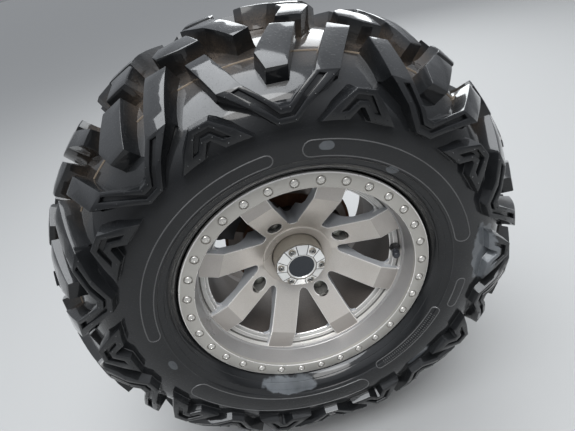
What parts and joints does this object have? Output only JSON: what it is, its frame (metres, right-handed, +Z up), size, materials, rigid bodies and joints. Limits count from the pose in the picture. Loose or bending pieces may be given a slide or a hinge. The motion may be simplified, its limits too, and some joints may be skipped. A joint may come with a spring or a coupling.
{
  "type": "all-terrain vehicle wheel and hub assembly",
  "caption": "Knobbly off-road tyre on a spoked alloy wheel, with hub, brake disc, caliper and bearing carrier; the wheel spins on the carrier.",
  "frame": {"origin": "on the wheel's spin axis, in the plane of the bearing carrier's inboard face, where four bolts hold it to the suspension arm", "axes": "+X towards the vehicle's front, +Y inboard along the spin axis, +Z up; the wheel's outer face looks along -Y"},
  "size_m": [0.6602, 0.2794, 0.6602],
  "materials": {
    "tyre_rubber": "satin, wet",
    "wheel_alloy": "satin, machined edges",
    "ring_alloy": "satin",
    "bolt_steel": "zinc plated",
    "black_rubber": "satin",
    "black_plastic": "gloss",
    "cap_plastic": "gloss, machined edge",
    "nut_chrome": "polished",
    "hub_iron": "rough, weathered",
    "disc_steel": "surface rust",
    "axle_steel": "turned",
    "carrier_alloy": "cast, dusty",
    "caliper_paint": "satin black",
    "pad_iron": "rough"
  },
  "bodies": {
    "carrier": {"bearing_carrier": "carrier_alloy", "wheel_bearing": "axle_steel", "caliper": "caliper_paint", "brake_pads": "pad_iron", "caliper_bolts": "bolt_steel"},
    "wheel": {"tyre": "tyre_rubber", "rim": "wheel_alloy", "outer_ring": "ring_alloy", "ring_bolts": "bolt_steel", "valve_stem": "black_rubber", "valve_cap": "black_plastic", "centre_cap": "cap_plastic", "cap_badge": "black_plastic", "lug_nuts": "nut_chrome", "wheel_studs": "bolt_steel", "hub": "hub_iron", "brake_disc": "disc_steel", "disc_bolts": "bolt_steel", "stub_axle": "axle_steel"}
  },
  "joints": [
    {"name": "wheel_spin", "type": "hinge", "parent": "carrier", "child": "wheel", "pos_m": [0, 0, 0], "axis": [0, 1, 0], "continuous": true}
  ]
}
